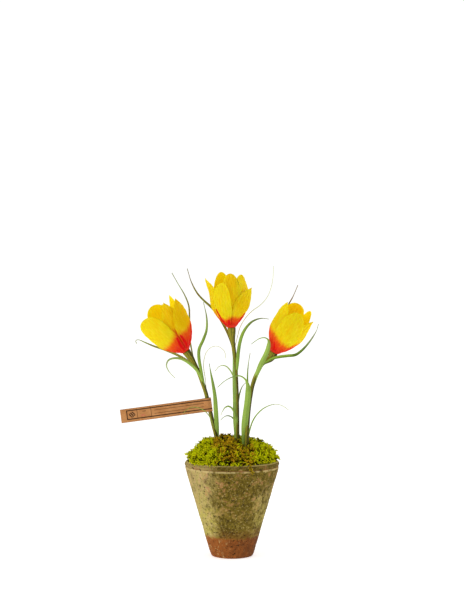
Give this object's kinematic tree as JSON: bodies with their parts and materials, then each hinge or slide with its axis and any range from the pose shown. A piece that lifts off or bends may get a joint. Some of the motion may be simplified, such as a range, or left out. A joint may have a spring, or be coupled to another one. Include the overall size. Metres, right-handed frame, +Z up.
{
  "type": "potted crocus",
  "caption": "Yellow crocus flowers on leafy stems in a small conical clay pot topped with moss, with a folded paper tag.",
  "frame": {"origin": "centre of the pot's flat base, on the surface it stands on", "axes": "+Z up along the pot's axis and the plant, +X to the right as seen from the front, -Y the front"},
  "size_m": [0.2152, 0.102, 0.312],
  "materials": {
    "clay": "matte aged clay with a green patina",
    "soil": "matte peat",
    "moss_green": "matte",
    "moss_brown": "matte",
    "leaf": "satin",
    "petal": "matte",
    "stamen": "matte",
    "card": "matte kraft paper"
  },
  "bodies": {
    "root": {"pot": "clay", "soil": "soil", "moss_left": "moss_green", "moss_centre": "moss_brown", "moss_right": "moss_green", "leafy_stem_left": "leaf", "bloom_left": "petal", "stamens_left": "stamen", "leafy_stem_centre": "leaf", "bloom_centre": "petal", "stamens_centre": "stamen", "leafy_stem_right": "leaf", "bloom_right": "petal", "stamens_right": "stamen", "tag": "card"}
  },
  "joints": []
}
